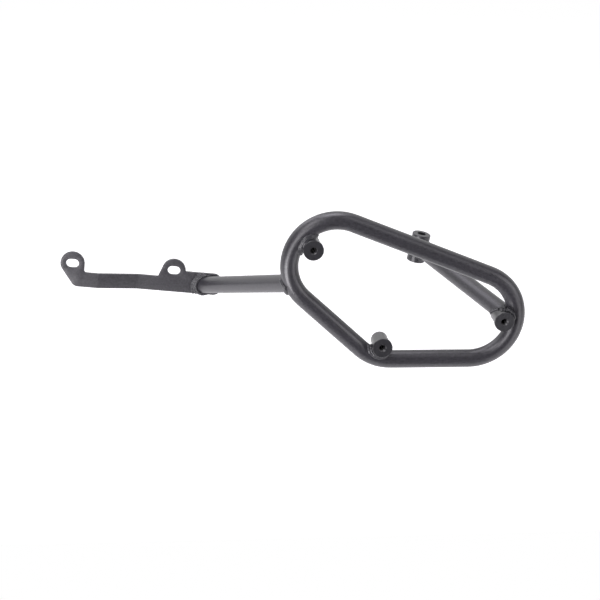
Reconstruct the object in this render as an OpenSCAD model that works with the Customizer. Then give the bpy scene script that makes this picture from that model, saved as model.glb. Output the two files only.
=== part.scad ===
// Side frame that carries one pannier: a closed bent tube with three threaded bosses,
// an arm to a slotted bracket at the front and a brace to a mounting sleeve at the back.
// X runs back along the bottom rail, Y inboard towards the vehicle, Z up.
// The origin is where the lower boss's axis crosses the loop's middle plane.

/* [Loop] */
// Outside diameter of every tube
tube_d = 19; // [15:0.5:20]
// Wall of every tube
tube_wall = 2; // [1.2:0.1:3]
// Side of the loop from the lower corner to each sharp corner
leg = 358; // [340:1:400]
// Angle of the loop at the lower corner
apex_angle = 137.5; // [130:0.5:142]
// Centre-line radius of the three bends
bend_r = 48; // [40:1:54]
// Loss of radius where the tube is bent
bend_loss = 0.05; // [0.03:0.01:0.3]
// Hole that lets gas out of the loop into the arm
vent_d = 6; // [3:0.5:8]

/* [Bosses] */
// Axis of the lower boss to the centre line of the tube
lower_seat = 16.5; // [14.5:0.1:17.5]
// Axes of the two upper bosses to the centre line of the tube
upper_seat = 15.6; // [14.5:0.1:17.5]
// Angle of the upper bosses round their bends, from the loop's line of symmetry
boss_turn = 71.5; // [60:0.5:80]
// Boss mouths to the middle plane of the loop
boss_reach = 16; // [14:0.5:24]
// Diameter of the boss collar
collar_d = 21; // [19.5:0.5:23]
// Length of the boss collar
collar_len = 3.5; // [2:0.5:5]
// Diameter of the boss body
boss_d = 18; // [16:0.5:19]
// Core diameter of the boss thread
thread_d = 6.8; // [5:0.1:8.5]
// Edge break at the mouth of each thread
thread_chamfer = 0.7; // [0.3:0.1:1]

/* [Bracket] */
// Outer face of the bracket's rear part behind the middle plane of the loop
bracket_reach = 155; // [130:1:180]
// Rear slot in front of the lower boss
slot_x = -218.2; // [-230:0.1:-205]
// Rear slot above the lower boss
slot_z = 30.2; // [20:0.1:40]
// Distance between the slots along the strip
slot_gap = 114.5; // [105:0.5:140]
// Front slot nearer the strip's upper side than the rear slot
front_rise = 1.4; // [0:0.1:4]
// Slot length
slot_len = 14.5; // [13:0.5:16]
// Slot width
slot_w = 10.5; // [8:0.5:12.5]
// Fall of the bracket towards its rear end
fall = 5.5; // [0:0.5:10]
// Bracket thickness
plate_t = 4; // [3:0.5:6]
// Radius of the ears round the slots
ear_r = 13.5; // [13:0.5:15]
// Height of the strip between the ears
strip_h = 17; // [15:0.5:20]
// Strip's lower edge below the slots
strip_low = 25.6; // [24:0.1:28]
// Length of the strip behind the rear slot
tail_len = 55; // [50:1:60]
// Upper edge of the tail below the slots
tail_drop = 0.3; // [0:0.1:2]
// Sideways step of the front ear
joggle = 10; // [6:0.5:14]
// Length of the sloping part of the step
joggle_run = 44; // [36:1:50]
// Inside radius of the step's two bends
fold_r = 6; // [3:0.5:12]

/* [Arm and brace] */
// Place of the arm round the front bend, from straight ahead downwards
arm_turn = 23.3; // [15:0.1:30]
// Arm axis on the bracket ahead of the tail's end
arm_inset = 18.5; // [16:0.5:20]
// Arm axis on the bracket below the slots
arm_v = 14.2; // [12:0.1:16]
// Brace axis above the rear boss axis, at the back of the boss
foot_up = 4.3; // [3:0.1:6]
// Brace axis behind the rear boss axis, at the back of the boss
foot_back = 1.5; // [0:0.1:3]

/* [Sleeve] */
// Sleeve centre behind the lower boss
sleeve_x = 64; // [50:1:80]
// Sleeve centre inboard of the middle plane of the loop
sleeve_reach = 150; // [130:1:170]
// Sleeve centre above the lower boss
sleeve_z = 59.4; // [45:0.1:75]
// Sleeve outside diameter
sleeve_d = 21; // [20.5:0.5:24]
// Sleeve bore
sleeve_bore = 10; // [8:0.5:13]
// Sleeve length
sleeve_len = 33; // [27:1:40]
// Lean of the sleeve's top towards the back
lean = 9; // [0:0.5:15]
// Tilt of the sleeve's top away from the vehicle
tilt = 4; // [0:0.5:8]
// Edge break at the sleeve's ends
sleeve_chamfer = 0.5; // [0.2:0.1:1]

/* [Welds] */
// Size of the beads at the arm's ends and the sleeve
bead = 3.5; // [2:0.5:4.5]
// Radius of the bead round the brace's foot
foot_bead_r = 2; // [1.5:0.1:3]
// Reach of the beads at the bosses
boss_bead = 4.5; // [3:0.5:6]

/* [Hidden] */
$fn = 96;
big = 400;
tube_r = tube_d / 2;
half = apex_angle / 2;
turn_low = 90 - half;
turn_up = 180 - turn_low;
low_point = bend_r / sin(half) - bend_r;
corner_c = -(low_point + lower_seat) * [cos(half), sin(half)];
low_tangent = bend_r / tan(half);
up_tangent = bend_r * tan(turn_up / 2);
leg_run = leg - low_tangent - up_tangent;
top_run = leg * sin(half);
boss_len = boss_reach + tube_r;
sym = [cos(half), sin(half)];
across = [sin(half), -cos(half)];
boss_lower_at = [0, 0];
strip_top = strip_low - strip_h;
plate_y = bracket_reach;
turn = 180 + arm_turn;
arm_gap = tube_r / 3;
bend_up = sym * (leg * cos(half) - bend_r);
bend_out = across * (leg * sin(half) - up_tangent);
front_bend = corner_c + bend_up - bend_out;
boss_up = (bend_r - upper_seat) * cos(boss_turn) * sym;
boss_out = (bend_r - upper_seat) * sin(boss_turn) * across;
boss_front_at = front_bend + boss_up - boss_out;
boss_rear_at = corner_c + bend_up + bend_out + boss_up + boss_out;
arm_root_2d = front_bend + bend_r * [cos(turn), sin(turn)];
arm_root = [arm_root_2d[0], 0, arm_root_2d[1]];
arm_tip = plate_point(tail_len - arm_inset, -arm_v);
brace_foot = [boss_rear_at[0] + foot_back, tube_r, boss_rear_at[1] + foot_up];
brace_head = [sleeve_x, sleeve_reach, sleeve_z];
fold_a = atan2(joggle, joggle_run);
fold_rear = -40.5;
fold_front = fold_rear - joggle_run;
ear_slant = 54.1;
ear_foot_r = 9;
ear_drop = strip_low + front_rise;
ear_foot_u = ((ear_drop - ear_foot_r) * cos(ear_slant) - ear_r + ear_foot_r) / sin(ear_slant);
weld_grey = [0.24, 0.24, 0.25];

function plate_point(u, v) = [slot_x + u * cos(fall) + v * sin(fall), plate_y, slot_z - u * sin(fall) + v * cos(fall)];

// Moves a drawing to where a bend of angle a ends; the path starts at the origin along X.
module after_bend(a) {
    translate([0, bend_r, 0]) rotate([0, 0, a]) translate([0, -bend_r, 0]) children();
}

// All of space ahead of X = 0, or behind it.
module half_space(ahead) {
    translate([ahead ? 0 : -big, -big, -big]) cube([big, 2 * big, 2 * big]);
}

module bend(r, a) {
    intersection() {
        translate([0, bend_r, 0]) rotate_extrude() translate([bend_r, 0]) circle(r = r);
        half_space(true);
        after_bend(a) half_space(false);
    }
}

module run(r, h) {
    rotate([0, 90, 0]) cylinder(r = r, h = h);
}

// Rear half of the loop, from the middle of the lower bend to the middle of the top run.
module half_ring(r) {
    translate([0, low_point, 0]) {
        bend(r - bend_loss, turn_low);
        after_bend(turn_low) {
            run(r, leg_run);
            translate([leg_run, 0, 0]) bend(r - bend_loss, turn_up);
        }
    }
    intersection() {
        translate([0, low_point, 0]) after_bend(turn_low) translate([leg_run, 0, 0]) after_bend(turn_up) run(r, top_run);
        half_space(true);
    }
}

// The closed loop as a solid of radius r.
module ring(r) {
    rotate([90, 0, 0]) translate(corner_c) rotate([0, 0, -turn_low])
        for (side = [0, 1]) mirror([side, 0, 0]) half_ring(r);
}

// Turns a drawing along Z to run from point a towards point b.
module along(a, b) {
    d = b - a;
    translate(a) rotate([0, acos(d[2] / norm(d)), atan2(d[1], d[0])]) children();
}

// Places a boss drawing, whose mouth faces -Y.
module at_boss(p) {
    translate([p[0], -boss_reach, p[1]]) rotate([-90, 0, 0]) children();
}

module boss_blank() {
    rotate_extrude() polygon([[0, 0], [collar_d / 2 - 0.3, 0], [collar_d / 2, 0.3], [collar_d / 2, collar_len],
                              [boss_d / 2, collar_len], [boss_d / 2, boss_len], [0, boss_len]]);
}

module boss(p) {
    difference() {
        at_boss(p) boss_blank();
        ring(tube_r);
        at_boss(p) translate([0, 0, -1]) cylinder(d = thread_d, h = boss_len + 2);
        at_boss(p) cylinder(d1 = thread_d + 2 * thread_chamfer, d2 = thread_d, h = thread_chamfer);
    }
}

module arm_solid(r) {
    along(arm_root, arm_tip) translate([0, 0, arm_gap]) cylinder(r = r, h = norm(arm_tip - arm_root) + 2 * tube_d);
}

module behind_bracket() {
    translate([-big, plate_y, -big]) cube([2 * big, big, 2 * big]);
}

module brace_solid(r) {
    along(brace_head, brace_foot) cylinder(r = r, h = norm(brace_foot - brace_head) + tube_r);
}

module at_sleeve() {
    translate(brace_head) rotate([tilt, lean, 0]) children();
}

module sleeve_solid(grow) {
    at_sleeve() translate([0, 0, -sleeve_len / 2]) cylinder(r = sleeve_d / 2 + grow, h = sleeve_len);
}

module loop_tube() {
    color([0.13, 0.13, 0.14]) difference() {
        ring(tube_r);
        ring(tube_r - tube_wall);
        along(arm_root, arm_tip) cylinder(d = vent_d, h = tube_d);
    }
}

module arm_tube() {
    color([0.15, 0.15, 0.16]) difference() {
        arm_solid(tube_r);
        arm_solid(tube_r - tube_wall);
        ring(tube_r);
        behind_bracket();
    }
}

module brace_tube() {
    color([0.15, 0.15, 0.16]) difference() {
        brace_solid(tube_r);
        brace_solid(tube_r - tube_wall);
        ring(tube_r);
        at_boss(boss_rear_at) boss_blank();
        sleeve_solid(0);
    }
}

module sleeve() {
    e = sleeve_chamfer;
    color([0.2, 0.2, 0.21]) at_sleeve() translate([0, 0, -sleeve_len / 2]) rotate_extrude()
        polygon([[sleeve_bore / 2, 0], [sleeve_d / 2 - e, 0], [sleeve_d / 2, e],
                 [sleeve_d / 2, sleeve_len - e], [sleeve_d / 2 - e, sleeve_len], [sleeve_bore / 2, sleeve_len]]);
}

module boss_front() { color([0.17, 0.17, 0.18]) boss(boss_front_at); }
module boss_lower() { color([0.17, 0.17, 0.18]) boss(boss_lower_at); }
module boss_rear() { color([0.17, 0.17, 0.18]) boss(boss_rear_at); }

// Fills the inner corner between an upright edge at u and a level edge at v.
module corner_fillet(u, v, r) {
    difference() {
        translate([u - 1, v - 1]) square(r + 1);
        translate([u + r, v + r]) circle(r = r);
    }
}

// Stands a flat shape up as a slab that takes in both levels of the plate.
module slab() {
    translate([0, plate_t + 1, 0]) rotate([90, 0, 0]) linear_extrude(height = plate_t + joggle + 2) children();
}

// Bracket before it is folded, rear slot at the origin.
module bracket_blank() {
    slope = 20.5;
    tail_r = 8;
    touch = (ear_r - 0.02) * [-cos(slope), sin(slope)];
    wedge_u = touch[0] - (strip_top + 3 + touch[1]) * tan(slope);
    difference() {
        union() {
            slab() translate([ear_foot_u - slot_gap, -strip_low]) square([slot_gap - ear_foot_u + 1, strip_h]);
            slab() translate([0, -strip_low]) square([tail_len - tail_r, strip_low - tail_drop]);
            slab() translate([0, -strip_low + tail_r]) square([tail_len, strip_low - tail_drop - 2 * tail_r]);
            for (v = [-tail_drop - tail_r, -strip_low + tail_r]) slab() translate([tail_len - tail_r, v]) circle(r = tail_r);
            slab() circle(r = ear_r);
            slab() polygon([[2, -strip_low + 2], [wedge_u, -strip_top - 3], touch, [2, 2]]);
            slab() corner_fillet(ear_r - 0.1, -tail_drop, 1.5);
            front_ear();
        }
        for (p = [[0, 0], [-slot_gap, front_rise]]) slot(p);
    }
}

// Ear at the front end: round the slot, then slanting down to a rounded foot.
module front_ear() {
    edge = (1 - 0.02 / ear_r) * [-sin(ear_slant), -cos(ear_slant)];
    foot = [ear_foot_u, -ear_drop + ear_foot_r];
    centre = [-slot_gap, front_rise];
    slab() translate(centre) circle(r = ear_r);
    slab() translate(centre + foot) circle(r = ear_foot_r);
    slab() translate(centre)
        polygon([[0, 0], ear_r * edge, foot + ear_foot_r * edge, foot - [0, ear_foot_r], [ear_r, -ear_drop], [ear_r, 0]]);
    slab() translate([-slot_gap, 0]) corner_fillet(ear_r, -strip_top, 2.5);
}

module slot(p) {
    run = (slot_len - slot_w) / 2;
    slab() translate(p) square([2 * run, slot_w], center = true);
    for (s = [-1, 1]) slab() translate(p + [s * run, 0]) circle(d = slot_w);
}

// Edge profile of the bracket: two levels of one sheet, joined by two folds.
module bracket_edge() {
    r_out = fold_r + plate_t;
    c_front = [fold_front - r_out * tan(fold_a / 2), r_out - joggle];
    c_rear = [fold_front + joggle_run + fold_r * tan(fold_a / 2), -fold_r];
    turn = [for (i = [0 : 4]) i * fold_a / 4];
    polygon(concat(
        [[-big, -joggle]],
        [for (t = turn) c_front + r_out * [sin(t), -cos(t)]],
        [for (t = turn) c_rear + fold_r * [-sin(fold_a - t), cos(fold_a - t)]],
        [[big, 0], [big, plate_t]],
        [for (t = turn) c_rear + r_out * [-sin(t), cos(t)]],
        [for (t = turn) c_front + fold_r * [sin(fold_a - t), -cos(fold_a - t)]],
        [[-big, plate_t - joggle]]
    ));
}

module bracket_plate() {
    height = strip_low + ear_r + 20;
    color([0.19, 0.19, 0.2]) translate([slot_x, plate_y, slot_z]) rotate([0, fall, 0]) intersection() {
        bracket_blank();
        translate([0, 0, -strip_low - 10]) linear_extrude(height = height) bracket_edge();
    }
}

// Fillet that fills the valley between a boss and the loop, in front and behind.
module boss_weld(p) {
    r = boss_d / 2;
    front = boss_reach - tube_r - 1;
    rise = 2;
    color(weld_grey) difference() {
        intersection() {
            at_boss(p) rotate_extrude() polygon([[r - 1, front], [r, front], [r + boss_bead * 0.5, front + 1],
                [r + boss_bead, front + 3.5], [r + boss_bead, boss_len - 3], [r + 1, boss_len - 0.5], [r - 1, boss_len - 0.5]]);
            ring(tube_r + rise);
        }
        ring(tube_r);
        at_boss(p) boss_blank();
    }
}

module weld_boss_front() { boss_weld(boss_front_at); }
module weld_boss_lower() { boss_weld(boss_lower_at); }

module weld_boss_rear() {
    difference() {
        boss_weld(boss_rear_at);
        brace_solid(tube_r);
        foot_bead();
    }
}

module weld_arm_loop() {
    color(weld_grey) difference() {
        intersection() {
            along(arm_root, arm_tip) translate([0, 0, arm_gap - 1]) cylinder(r = tube_r + bead, h = 4 * tube_r);
            ring(tube_r + bead - 1);
        }
        ring(tube_r);
        arm_solid(tube_r);
    }
}

// Domed bead on the bracket's face round the arm's end.
module weld_arm_bracket() {
    dome_r = 24;
    dome_in = sqrt(pow(dome_r, 2) - pow(tube_r + bead + 1, 2));
    color(weld_grey) difference() {
        translate(arm_tip + [-bead / 2, dome_in, 0]) sphere(r = dome_r, $fn = 300);
        arm_solid(tube_r);
        behind_bracket();
    }
}

module foot_bead() {
    translate(brace_foot) rotate([90, 0, 0]) rotate_extrude() translate([tube_r + 0.3, 0]) circle(r = foot_bead_r);
}

module weld_brace_foot() {
    color(weld_grey) difference() {
        foot_bead();
        brace_solid(tube_r);
        ring(tube_r);
        at_boss(boss_rear_at) boss_blank();
    }
}

module weld_brace_sleeve() {
    skip = 4;
    color(weld_grey) difference() {
        intersection() {
            along(brace_head, brace_foot) translate([0, 0, skip]) cylinder(r = tube_r + bead - 1, h = sleeve_d);
            sleeve_solid(bead - 1);
        }
        sleeve_solid(0);
        brace_solid(tube_r);
    }
}

loop_tube();
arm_tube();
brace_tube();
bracket_plate();
boss_front();
boss_lower();
boss_rear();
sleeve();
weld_boss_front();
weld_boss_lower();
weld_boss_rear();
weld_arm_loop();
weld_arm_bracket();
weld_brace_foot();
weld_brace_sleeve();
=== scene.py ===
import math
from collections import namedtuple

import bmesh
import bpy
from mathutils import Matrix, Vector, noise


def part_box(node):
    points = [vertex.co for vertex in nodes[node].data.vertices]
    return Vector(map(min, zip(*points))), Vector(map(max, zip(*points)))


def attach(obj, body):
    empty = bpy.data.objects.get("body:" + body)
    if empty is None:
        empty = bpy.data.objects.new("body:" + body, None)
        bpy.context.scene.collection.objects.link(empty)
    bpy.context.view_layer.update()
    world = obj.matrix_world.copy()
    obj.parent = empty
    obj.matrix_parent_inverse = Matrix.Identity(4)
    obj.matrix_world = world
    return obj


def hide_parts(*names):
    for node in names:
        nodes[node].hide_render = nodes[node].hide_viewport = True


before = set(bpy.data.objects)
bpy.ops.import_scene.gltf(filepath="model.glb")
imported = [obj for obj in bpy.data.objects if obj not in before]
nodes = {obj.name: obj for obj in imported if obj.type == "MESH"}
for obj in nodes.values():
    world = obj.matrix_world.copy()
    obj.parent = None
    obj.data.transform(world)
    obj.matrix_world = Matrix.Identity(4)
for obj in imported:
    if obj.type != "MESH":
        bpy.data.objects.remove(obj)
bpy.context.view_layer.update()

# One millimetre in metres. The scene is in metres, and what is said to be in mm is scaled by this.
MM = 0.001

# The photograph's camera: angles in degrees, focal length and picture width in pixels, lengths in mm.
# AIM is a point in the loop's tube, AIM_WAY the way to it from the camera and AIM_DISTANCE how far it is.
AZIMUTH, ELEVATION, ROLL = 5.278, 19.472, 1.360
FOCAL_LENGTH, PICTURE_WIDTH = 1220.82, 600.0
AIM, AIM_WAY, AIM_DISTANCE = (-85.78, 0.0, 47.85), (5.300, 19.493), 1263.7
SENSOR_WIDTH = 36.0

# Colours of the powder coat on each kind of piece, and of the cut threads. The coat is the same on every
# piece; the plate's and the bosses' colours are shifted to paint light and shade.
TUBE_COLOUR = (0.030, 0.029, 0.034)
# Painted light: the plate's coat is made lighter than the tubes' so that its front-facing faces read
# brighter.
PLATE_LIT_COLOUR = (0.047, 0.046, 0.051)
# Painted shade: the bosses' coat is made darker so that their camera-facing faces read dark.
BOSS_SHADED_COLOUR = (0.020, 0.020, 0.023)
PLAIN_COLOUR = (0.034, 0.034, 0.038)
STEEL_COLOUR = (0.88, 0.86, 0.84)

# Noise cells per metre of the coat's mottle, orange peel and grain, and the height of the last two.
MOTTLE_SCALE, PEEL_SCALE, GRAIN_SCALE = 420.0, 520.0, 2600.0
PEEL_HEIGHT, GRAIN_HEIGHT = 0.05 * MM, 0.012 * MM

# Edges over this angle stay sharp in the shading.
SHARP_ANGLE = math.radians(35.0)

# M8 thread: radius of its core, depth and pitch in mm, and how finely it is meshed.
THREAD_CORE, THREAD_DEPTH, THREAD_PITCH = 3.4 * MM, 0.6 * MM, 1.25 * MM
THREAD_STEPS, THREAD_RINGS = 48, 9

# How far the thread starts behind the boss's mouth and ends before its rear, and how wide the cut
# edge round the mouth is. Anything nearer to the core than THREAD_CLOSE is the plain wall of the bore.
THREAD_BEHIND_MOUTH, THREAD_BEFORE_REAR = 0.75 * MM, 0.05 * MM
THREAD_CUT_EDGE, THREAD_CLOSE = 0.9 * MM, 0.03 * MM

# Sizes and places of the frame that the welds follow, in mm. Bend centres are X and Z, and the boss
# seams are looked for from BOSS_FROM before or behind the loop's middle plane, over BOSS_REACH.
TUBE_R, BEND_R, BOSS_R, SLEEVE_R = 9.5, 48.0, 9.0, 10.5
BENDS = {"front": (-50.12, 85.75), "lower": (11.42, 29.36), "rear": (94.88, 29.36)}
BOSS_FROM, BOSS_REACH = 14.0, 14.5
BRACKET_FACE, BRACKET_LOW, BRACKET_HIGH = 155.0, 4.0, 25.5
ARM_ROOT, ARM_TIP = Vector((-94.2, 0.0, 66.8)), Vector((-183.2, BRACKET_FACE, 12.6))
BRACE_HEAD, BRACE_FOOT = Vector((64.0, 150.0, 59.4)), Vector((128.7, TUBE_R, 32.1))
SLEEVE_LINE = Vector((0.15605, -0.06976, 0.98528))

# Every lamp is a square of this side, this far from the point that it is turned to, in metres.
LAMP_SIDE, LAMP_DISTANCE = 0.8, 1.5
LAMP_TARGET = Vector((-0.08, 0.06, 0.05))
NEUTRAL, COOL, COOLER = (0.985, 0.96, 1.0), (0.95, 0.92, 1.0), (0.93, 0.90, 1.0)

# Floor, in metres: its height, its front edge just before the object and its width and depth.
FLOOR_HEIGHT, FLOOR_FRONT, FLOOR_SIZE = -0.16, -0.12, 7.0

# One pool of a weld: its place, its way out from the seam's axis, that axis and its radius, in mm.
Pool = namedtuple("Pool", "at out axis size")


# Way of a look at an azimuth and an elevation in degrees.
def look_along(azimuth, elevation):
    az, el = math.radians(azimuth), math.radians(elevation)
    return Vector((math.sin(az) * math.cos(el), math.cos(az) * math.cos(el), -math.sin(el)))


def make_camera():
    look = look_along(AZIMUTH, ELEVATION)
    az, roll = math.radians(AZIMUTH), math.radians(ROLL)
    level = Vector((math.cos(az), -math.sin(az), 0.0))
    upright = level.cross(look)
    right = math.cos(roll) * level + math.sin(roll) * upright
    up = -math.sin(roll) * level + math.cos(roll) * upright
    place = (Vector(AIM) - AIM_DISTANCE * look_along(*AIM_WAY)) * MM
    data = bpy.data.cameras.new("camera")
    data.sensor_width = SENSOR_WIDTH
    data.lens = FOCAL_LENGTH / PICTURE_WIDTH * SENSOR_WIDTH
    data.clip_start = 0.05
    data.clip_end = 50.0
    camera = bpy.data.objects.new("camera", data)
    camera.matrix_world = Matrix.Translation(place) @ Matrix((right, up, -look)).transposed().to_4x4()
    bpy.context.collection.objects.link(camera)
    bpy.context.scene.camera = camera


# Materials

def node_tree(name):
    mat = bpy.data.materials.new(name)
    mat.use_nodes = True
    tree = mat.node_tree
    tree.nodes.clear()
    return mat, tree


# Adds a node and sets its properties, or its sockets, whose names are given with _ for a space.
def add(tree, kind, **values):
    node = tree.nodes.new(kind)
    for key, value in values.items():
        if hasattr(node, key):
            setattr(node, key, value)
        else:
            node.inputs[key.replace("_", " ")].default_value = value
    return node


def principled(name, **values):
    mat, tree = node_tree(name)
    out = add(tree, "ShaderNodeOutputMaterial")
    bsdf = add(tree, "ShaderNodeBsdfPrincipled", **values)
    tree.links.new(bsdf.outputs["BSDF"], out.inputs["Surface"])
    return mat, tree, bsdf


# Adds a texture that lies on an object's own coordinates.
def texture(tree, coord, kind, **values):
    made = add(tree, kind, **values)
    tree.links.new(coord.outputs["Object"], made.inputs["Vector"])
    return made


# Adds a bump that follows a texture.
def bump(tree, made, strength, height):
    bumped = add(tree, "ShaderNodeBump", Strength=strength, Distance=height)
    tree.links.new(made.outputs["Fac"], bumped.inputs["Height"])
    return bumped


# Adds a colour that follows a noise between two shades, and a roughness that follows it too.
def mottled(tree, bsdf, cloud, colour, mottle, rough):
    spread, dark_below, light_above = 0.08, 0.3, 0.7
    tint = add(tree, "ShaderNodeValToRGB")
    dark, light = tint.color_ramp.elements
    dark.position, dark.color = dark_below, [c * (1.0 - mottle) for c in colour] + [1.0]
    light.position, light.color = light_above, [c * (1.0 + mottle) for c in colour] + [1.0]
    tree.links.new(cloud.outputs["Fac"], tint.inputs["Fac"])
    tree.links.new(tint.outputs["Color"], bsdf.inputs["Base Color"])
    sheen = add(tree, "ShaderNodeMapRange", To_Min=rough - spread, To_Max=rough + spread)
    tree.links.new(cloud.outputs["Fac"], sheen.inputs["Value"])
    tree.links.new(sheen.outputs["Result"], bsdf.inputs["Roughness"])


# Satin powder coat: an even colour with a fine mottle, orange peel and grain.
def powder_coat(name, colour, rough, peel=0.3, grain=0.25, mottle=0.12, ior=1.5):
    mat, tree, bsdf = principled(name, IOR=ior)
    coord = add(tree, "ShaderNodeTexCoord")
    cloud = texture(tree, coord, "ShaderNodeTexNoise", Scale=MOTTLE_SCALE, Detail=4.0, Roughness=0.6)
    mottled(tree, bsdf, cloud, colour, mottle, rough)
    orange = texture(tree, coord, "ShaderNodeTexNoise", Scale=PEEL_SCALE, Detail=1.5, Roughness=0.5)
    specks = texture(tree, coord, "ShaderNodeTexNoise", Scale=GRAIN_SCALE, Detail=2.0, Roughness=0.6)
    skin = bump(tree, orange, strength=peel, height=PEEL_HEIGHT)
    fine = bump(tree, specks, strength=grain, height=GRAIN_HEIGHT)
    tree.links.new(skin.outputs["Normal"], fine.inputs["Normal"])
    tree.links.new(fine.outputs["Normal"], bsdf.inputs["Normal"])
    return mat


# Bare cut steel of the threads, with fine turning marks.
def cut_steel(name):
    mat, tree, bsdf = principled(name, Metallic=0.1)
    coord = add(tree, "ShaderNodeTexCoord")
    cloud = texture(tree, coord, "ShaderNodeTexNoise", Scale=900.0, Detail=3.0, Roughness=0.6)
    mottled(tree, bsdf, cloud, STEEL_COLOUR, mottle=0.05, rough=0.45)
    marks = texture(tree, coord, "ShaderNodeTexWave", bands_direction="Y", Scale=5000.0, Distortion=1.0)
    turned = bump(tree, marks, strength=0.2, height=0.01 * MM)
    tree.links.new(turned.outputs["Normal"], bsdf.inputs["Normal"])
    return mat


# Pieces

def dress(node, mat):
    for slot in nodes[node].material_slots:
        slot.material = mat


def link_piece(node, mesh):
    piece = bpy.data.objects.new(node + "_look", mesh)
    bpy.context.collection.objects.link(piece)
    return piece


# Copy of a node as a piece, with a bmesh of its joined-up surface.
def copy_of(node):
    piece = link_piece(node, nodes[node].data.copy())
    bm = bmesh.new()
    bm.from_mesh(piece.data)
    bmesh.ops.remove_doubles(bm, verts=bm.verts, dist=1e-6)
    return piece, bm


# Puts a bmesh into a piece, smooth but for its sharp edges.
def settle(piece, bm, mats):
    for face in bm.faces:
        face.smooth = True
    for edge in bm.edges:
        edge.smooth = edge.calc_face_angle(0.0) < SHARP_ANGLE
    bm.to_mesh(piece.data)
    bm.free()
    if "custom_normal" in piece.data.attributes:
        piece.data.attributes.remove(piece.data.attributes["custom_normal"])
    piece.data.materials.clear()
    for mat in mats:
        piece.data.materials.append(mat)


def stand_for(piece, node):
    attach(piece, "root")
    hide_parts(node)


# Depth of the thread's groove, as a share of its full depth, at a place along one pitch.
def groove(phase):
    flank, crest = 0.42, 0.16
    return min(1.0, max(0.0, (0.5 - abs(phase - 0.5)) / flank - crest))


# Rings of vertices for the thread's wall, from one end to the other. It runs out at both ends.
def thread_rings(bm, cx, cz, start, end):
    rows = int((end - start) / THREAD_PITCH * THREAD_RINGS)
    run_out = 0.6 * THREAD_PITCH
    rings = []
    for row in range(rows + 1):
        y = start + (end - start) * row / rows
        fade = min(1.0, (y - start) / run_out, (end - y) / run_out)
        ring = []
        for i in range(THREAD_STEPS):
            r = THREAD_CORE + THREAD_DEPTH * groove((y / THREAD_PITCH + i / THREAD_STEPS) % 1.0) * fade
            a = 2.0 * math.pi * i / THREAD_STEPS
            ring.append(bm.verts.new((cx + r * math.cos(a), y, cz + r * math.sin(a))))
        rings.append(ring)
    return rings


# Copy of a boss whose plain bore wall becomes a real helical thread.
def threaded_boss(node, coat, steel):
    low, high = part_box(node)
    cx, cz = (low[0] + high[0]) / 2.0, (low[2] + high[2]) / 2.0
    piece, bm = copy_of(node)
    away = {v: math.hypot(v.co.x - cx, v.co.z - cz) for v in bm.verts}
    wall = [f for f in bm.faces if all(away[v] < THREAD_CORE + THREAD_CLOSE for v in f.verts)]
    bmesh.ops.delete(bm, geom=wall, context="FACES")
    for face in bm.faces:
        cut = all(away[v] < THREAD_CORE + THREAD_CUT_EDGE for v in face.verts)
        face.material_index = 1 if cut else 0
    rims = [e for e in bm.edges if e.is_boundary]
    start, end = low[1] + THREAD_BEHIND_MOUTH, high[1] - THREAD_BEFORE_REAR
    rings = thread_rings(bm, cx, cz, start, end)
    following = [(i + 1) % THREAD_STEPS for i in range(THREAD_STEPS)]
    for near, far in zip(rings, rings[1:]):
        for i, j in enumerate(following):
            bm.faces.new((near[i], near[j], far[j], far[i])).material_index = 1
    half_way = (start + end) / 2.0
    for ring, front in ((rings[0], True), (rings[-1], False)):
        edges = [bm.edges.get((ring[i], ring[j])) for i, j in enumerate(following)]
        edges += [e for e in rims if (e.verts[0].co.y < half_way) == front]
        for face in bmesh.ops.bridge_loops(bm, edges=edges)["faces"]:
            face.material_index = 1
    bmesh.ops.recalc_face_normals(bm, faces=bm.faces)
    settle(piece, bm, [coat, steel])
    stand_for(piece, node)


# Copy of the bracket with its cut edges broken, as powder coat rounds them.
def soft_edged(node, coat):
    edge_break, corner = 0.45 * MM, math.radians(50.0)
    piece, bm = copy_of(node)
    bmesh.ops.dissolve_limit(bm, angle_limit=math.radians(0.5), verts=bm.verts, edges=bm.edges)
    sharp = [e for e in bm.edges if e.calc_face_angle(0.0) > corner]
    bmesh.ops.bevel(bm, geom=sharp, offset=edge_break, segments=3, profile=0.5,
                    affect="EDGES", clamp_overlap=False)
    bmesh.ops.triangulate(bm, faces=[f for f in bm.faces if len(f.verts) > 4])
    settle(piece, bm, [coat])
    stand_for(piece, node)


# Welds, in mm

# Pools where lines at a radius round an axis first enter a solid. A line that starts inside the solid
# or doesn't meet it within its reach has none. The askew way only sets where round the axis they start.
def seam(start, along, radius, reach, inside, size, steps=38):
    stride, halvings, askew = 0.4, 6, Vector((0.31, 0.2, 0.93))
    axis = Vector(along).normalized()
    side = axis.cross(askew).normalized()
    other = axis.cross(side)
    pools = []
    for i in range(steps):
        a = 2.0 * math.pi * i / steps
        out = side * math.cos(a) + other * math.sin(a)
        line = Vector(start) + out * radius
        t = 0.0
        while t < reach and not inside(line + axis * t):
            t += stride
        if 0.0 < t < reach:
            near, far = t - stride, t
            for _ in range(halvings):
                half = (near + far) / 2.0
                near, far = (near, half) if inside(line + axis * half) else (half, far)
            pools.append(Pool(line + axis * far, out, axis, size))
    return pools


# Adds one pool, a ball a little flattened along the seam, whose size and place wander slightly.
def add_pool(bm, pool, step, out_by, up_by):
    size_change, size_scale, size_offset = 0.16, 0.23, Vector((1.7, 0.0, 4.0))
    place_change, place_scale, flatness = 0.5, 0.3, 0.92
    size = pool.size * (1.0 + size_change * noise.noise(pool.at * size_scale + size_offset))
    wander = pool.out * place_change * noise.noise(pool.at * place_scale)
    place = pool.at + pool.out * out_by - pool.axis * up_by + wander
    turn = step.to_track_quat("Z", "Y").to_matrix().to_4x4()
    shape = Matrix.Diagonal((size, size, flatness * size, 1.0))
    matrix = Matrix.Scale(MM, 4) @ Matrix.Translation(place) @ turn @ shape
    bmesh.ops.create_icosphere(bm, subdivisions=2, radius=1.0, matrix=matrix)


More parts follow.
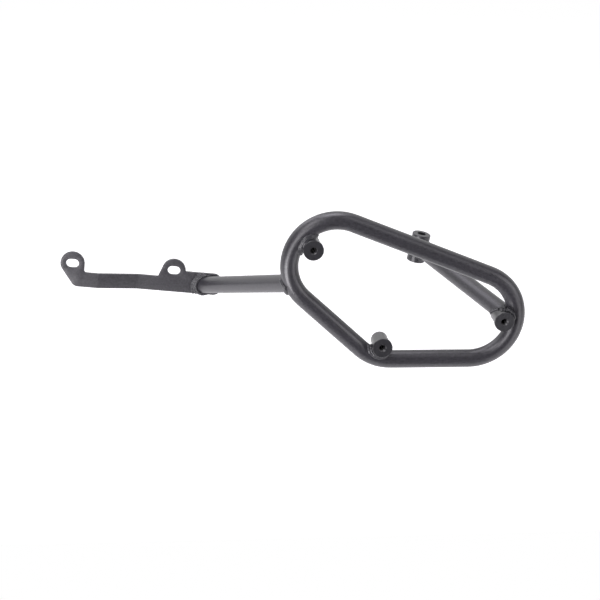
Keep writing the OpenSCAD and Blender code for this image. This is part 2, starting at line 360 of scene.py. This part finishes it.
# Melts a piece's overlapping pools into one skin.
def melt(piece):
    voxel, rounds = 0.33 * MM, 6
    remesh = piece.modifiers.new("remesh", "REMESH")
    remesh.mode = "VOXEL"
    remesh.voxel_size = voxel
    soft = piece.modifiers.new("soft", "SMOOTH")
    soft.iterations = rounds
    bpy.context.view_layer.update()
    melted = piece.evaluated_get(bpy.context.evaluated_depsgraph_get())
    mesh = bpy.data.meshes.new_from_object(melted)
    piece.modifiers.clear()
    piece.data = mesh


# A weld bead laid in overlapping pools along a seam, one mesh that stands for the CAD's plain bead.
# The pools are pushed out from the seam's axis, and back up along it.
def weld_bead(node, coat, pools, out_by=0.4, up_by=0.4):
    unevenness, uneven_scale = 0.14, 650.0
    bm = bmesh.new()
    for i, pool in enumerate(pools):
        ahead, behind = pools[(i + 1) % len(pools)].at, pools[i - 1].at
        step = min((pool.at - behind), (ahead - pool.at), key=lambda v: v.length)
        add_pool(bm, pool, step, out_by, up_by)
    mesh = bpy.data.meshes.new(node + "_look")
    bm.to_mesh(mesh)
    bm.free()
    piece = link_piece(node, mesh)
    melt(piece)
    bm = bmesh.new()
    bm.from_mesh(piece.data)
    bm.normal_update()
    for v in bm.verts:
        v.co += v.normal * unevenness * MM * noise.noise(v.co * uneven_scale)
    settle(piece, bm, [coat])
    stand_for(piece, node)


# Whether a point is inside the loop's tube at one of its bends.
def in_bend(name):
    cx, cz = BENDS[name]
    return lambda p: math.hypot(math.hypot(p.x - cx, p.z - cz) - BEND_R, p.y) < TUBE_R


def boss_axis(name):
    low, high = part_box("boss_" + name)
    return (low[0] + high[0]) / 2.0 / MM, (low[2] + high[2]) / 2.0 / MM


# Fillet in front of the loop, as rows of pools that step down from the boss to the tube.
# Each row has its radius, pool size and count, how far it is lifted to the front, and its rearmost Y.
# The rear boss has only the inner row and the upper part of the next.
def boss_fillet(name, bx, bz):
    rows = ((9.5, 2.4, 38, 2.9, -5.5), (11.4, 2.4, 46, 1.3, -4.0), (13.3, 2.1, 64, 0.0, TUBE_R))
    start, inboard, upper = (bx, -BOSS_FROM, bz), (0.0, 1.0, 0.0), 0.2
    pools = []
    for row, (radius, size, steps, lift, rearmost) in enumerate(rows):
        for pool in seam(start, inboard, radius, BOSS_REACH, in_bend(name), size, steps):
            if name != "rear" or row == 0 or (row == 1 and pool.out.z > upper):
                lifted = Vector((pool.at.x, min(pool.at.y - lift, rearmost), pool.at.z))
                pools.append(pool._replace(at=lifted))
    return pools


# Pools that fill the corner between the rear boss, the loop and the brace.
def corner_fill(bx, bz):
    radius, size, inboard = 9.2, 2.3, Vector((0.0, 1.0, 0.0))
    pools = []
    for from_upright in (-4.0, 14.0, 32.0, 50.0):
        a = math.radians(from_upright)
        out = Vector((math.sin(a), 0.0, math.cos(a)))
        for y in (-5.5, -2.5, 0.5, 3.5):
            pools.append(Pool(Vector((bx, y, bz)) + out * radius, out, inboard, size))
    return pools


# The weld of a boss: its fillet in front, and a plain seam behind the loop or the filled corner.
def weld_boss(name, coat):
    rear_radius, rear_size = 9.4, 2.4
    bx, bz = boss_axis(name)
    pools = boss_fillet(name, bx, bz)
    if name == "rear":
        pools += corner_fill(bx, bz)
    else:
        start, outboard = (bx, BOSS_FROM, bz), (0.0, -1.0, 0.0)
        pools += seam(start, outboard, rear_radius, BOSS_REACH, in_bend(name), rear_size)
    weld_bead("weld_boss_" + name, coat, pools, up_by=0.1)


# Seam of a tube's end, found from a set-back up the tube towards its tip.
def tube_end(tip, way, set_back, reach, inside, size):
    return seam(tip - way.normalized() * set_back, way, TUBE_R, reach, inside, size)


# The weld at the arm's root gets thinner towards the inside of the bend, where it would show.
def weld_arm_root(coat):
    thin, thick, growth = 0.9, 2.5, 0.25
    way = ARM_ROOT - ARM_TIP
    cx, cz = BENDS["front"]
    pools = []
    for pool in tube_end(ARM_ROOT, way, set_back=26.0, reach=30.0, inside=in_bend("front"), size=thick):
        from_inside = math.hypot(pool.at.x - cx, pool.at.z - cz) - BEND_R + TUBE_R
        pools.append(pool._replace(size=min(thick, max(thin, growth * from_inside))))
    weld_bead("weld_arm_loop", coat, pools)


# The weld on the bracket is wider on the arm's front side, where further rows step down to the plate.
# Each row has how far it is out from the arm and up along it.
def weld_arm_tip(coat):
    def in_plate(p):
        return p.y > BRACKET_FACE

    rows, in_front = ((3.7, 0.0), (2.0, 1.4), (0.4, 3.0)), -0.1
    pools = tube_end(ARM_TIP, ARM_TIP - ARM_ROOT, set_back=26.0, reach=40.0, inside=in_plate, size=2.3)
    wider = []
    for out_by, lift in rows:
        for pool in pools:
            at = pool.at + pool.out * out_by - pool.axis * lift
            if pool.out.x < in_front and BRACKET_LOW < at.z < BRACKET_HIGH:
                wider.append(pool._replace(at=at))
    weld_bead("weld_arm_bracket", coat, pools + wider, out_by=0.6, up_by=0.2)


def weld_brace_ends(coat):
    down = BRACE_FOOT - BRACE_HEAD
    bx, bz = boss_axis("rear")
    in_loop = in_bend("rear")

    def in_loop_or_boss(p):
        return in_loop(p) or (p.y < TUBE_R and math.hypot(p.x - bx, p.z - bz) < BOSS_R)

    def in_sleeve(p):
        return (p - BRACE_HEAD).cross(SLEEVE_LINE).length < SLEEVE_R

    at_foot = tube_end(BRACE_FOOT, down, set_back=24.0, reach=32.0, inside=in_loop_or_boss, size=1.7)
    weld_bead("weld_brace_foot", coat, at_foot, out_by=0.3, up_by=0.2)
    at_sleeve = tube_end(BRACE_HEAD, -down, set_back=24.0, reach=28.0, inside=in_sleeve, size=2.2)
    weld_bead("weld_brace_sleeve", coat, at_sleeve)


# Studio

# Square lamp seen from the object at an azimuth, anticlockwise from +X, and an elevation, in degrees.
def soft_box(name, azimuth, elevation, power, colour=NEUTRAL):
    az, el = math.radians(azimuth), math.radians(elevation)
    way = Vector((math.cos(az) * math.cos(el), math.sin(az) * math.cos(el), math.sin(el)))
    data = bpy.data.lights.new(name, "AREA")
    data.shape = "SQUARE"
    data.size = LAMP_SIDE
    data.energy = power
    data.color = colour
    lamp = bpy.data.objects.new(name, data)
    lamp.location = LAMP_TARGET + way * LAMP_DISTANCE
    lamp.rotation_euler = (-way).to_track_quat("-Z", "Y").to_euler()
    lamp.visible_camera = False
    bpy.context.collection.objects.link(lamp)


# The larger of two values.
def larger(tree, one, other):
    node = add(tree, "ShaderNodeMath", operation="MAXIMUM")
    tree.links.new(one, node.inputs[0])
    tree.links.new(other, node.inputs[1])
    return node.outputs[0]


# The product of two values.
def product(tree, one, other):
    node = add(tree, "ShaderNodeMath", operation="MULTIPLY")
    tree.links.new(one, node.inputs[0])
    tree.links.new(other, node.inputs[1])
    return node.outputs[0]


# White sweep: a floor whose front edge is just before the object, so that its front reflects a dark room.
# For rays from the camera, a reflection or a transmission it also glows, from near to far strength.
def make_floor(near, far):
    place = (0.0, FLOOR_FRONT + FLOOR_SIZE / 2.0, FLOOR_HEIGHT)
    bpy.ops.mesh.primitive_plane_add(size=1.0, location=place)
    floor = bpy.context.object
    floor.scale = (FLOOR_SIZE, FLOOR_SIZE, 1.0)
    floor.name = "floor"
    mat, tree = node_tree("floor_white")
    link = tree.links.new
    out = add(tree, "ShaderNodeOutputMaterial")
    diffuse = add(tree, "ShaderNodeBsdfDiffuse", Color=(0.85, 0.85, 0.85, 1.0))
    shine = add(tree, "ShaderNodeEmission")
    away = add(tree, "ShaderNodeVectorMath", operation="LENGTH")
    link(add(tree, "ShaderNodeNewGeometry").outputs["Position"], away.inputs[0])
    glow = add(tree, "ShaderNodeMapRange", From_Min=0.5, From_Max=1.6, To_Min=near, To_Max=far)
    link(away.outputs["Value"], glow.inputs["Value"])
    path = add(tree, "ShaderNodeLightPath")
    seen = larger(tree, path.outputs["Is Camera Ray"], path.outputs["Is Glossy Ray"])
    seen = larger(tree, seen, path.outputs["Is Transmission Ray"])
    link(product(tree, glow.outputs["Result"], seen), shine.inputs["Strength"])
    both = add(tree, "ShaderNodeAddShader")
    link(diffuse.outputs[0], both.inputs[0])
    link(shine.outputs[0], both.inputs[1])
    link(both.outputs[0], out.inputs["Surface"])
    floor.data.materials.append(mat)


# White all round for the camera, white behind the object for reflections, and an even fill.
def make_world(fill, white):
    world = bpy.data.worlds.new("world")
    bpy.context.scene.world = world
    world.use_nodes = True
    tree = world.node_tree
    tree.nodes.clear()
    link = tree.links.new
    out = add(tree, "ShaderNodeOutputWorld")
    back = add(tree, "ShaderNodeBackground", Color=(1.0, 1.0, 1.0, 1.0))
    path = add(tree, "ShaderNodeLightPath")
    way = add(tree, "ShaderNodeSeparateXYZ")
    link(add(tree, "ShaderNodeTexCoord").outputs["Generated"], way.inputs[0])
    behind = add(tree, "ShaderNodeMapRange", From_Min=-0.1, From_Max=0.35, interpolation_type="SMOOTHSTEP")
    link(way.outputs["Y"], behind.inputs["Value"])
    through = larger(tree, path.outputs["Is Glossy Ray"], path.outputs["Is Transmission Ray"])
    mirrored = product(tree, through, behind.outputs["Result"])
    shown = larger(tree, path.outputs["Is Camera Ray"], mirrored)
    level = add(tree, "ShaderNodeMapRange", To_Min=fill, To_Max=white)
    link(shown, level.inputs["Value"])
    link(level.outputs["Result"], back.inputs["Strength"])
    link(back.outputs[0], out.inputs["Surface"])


make_camera()

tube_coat = powder_coat("tube_coat", TUBE_COLOUR, rough=0.35, peel=0.9, grain=0.5, mottle=0.35, ior=1.62)
# Painted light: this coat's lighter colour brightens the bracket's front-facing plate.
plate_coat = powder_coat("plate_coat", PLATE_LIT_COLOUR, rough=0.38, peel=0.7, grain=0.5, mottle=0.3)
# Painted shade: this coat's darker colour darkens the bosses' camera-facing faces.
boss_coat = powder_coat("boss_coat", BOSS_SHADED_COLOUR, rough=0.32, ior=1.8)
sleeve_coat = powder_coat("sleeve_coat", PLAIN_COLOUR, rough=0.34)
weld_coat = powder_coat("weld_coat", PLAIN_COLOUR, rough=0.33, peel=0.4)
thread_steel = cut_steel("thread_steel")

for name in ("loop_tube", "arm_tube", "brace_tube"):
    dress(name, tube_coat)
dress("sleeve", sleeve_coat)
for name in ("boss_front", "boss_lower", "boss_rear"):
    threaded_boss(name, boss_coat, thread_steel)
soft_edged("bracket_plate", plate_coat)

for name in BENDS:
    weld_boss(name, weld_coat)
weld_arm_root(weld_coat)
weld_arm_tip(weld_coat)
weld_brace_ends(weld_coat)

make_floor(near=0.70, far=0.98)
make_world(fill=0.012, white=1.0)

# Each lamp's azimuth, elevation and watts.
soft_box("low_left", 225.0, -22.0, 21.4)
soft_box("key_left", 240.0, 12.0, 8.6)
soft_box("high_left", 225.0, 48.0, 7.8)
soft_box("low_right", 318.0, -22.0, 4.6)
soft_box("right", 330.0, 12.0, 5.4)
soft_box("high_right", 315.0, 48.0, 2.6)
soft_box("behind_left", 135.0, 48.0, 4.2, COOLER)
soft_box("top", 90.0, 86.0, 10.2, COOL)

bpy.context.scene.view_settings.view_transform = "Standard"
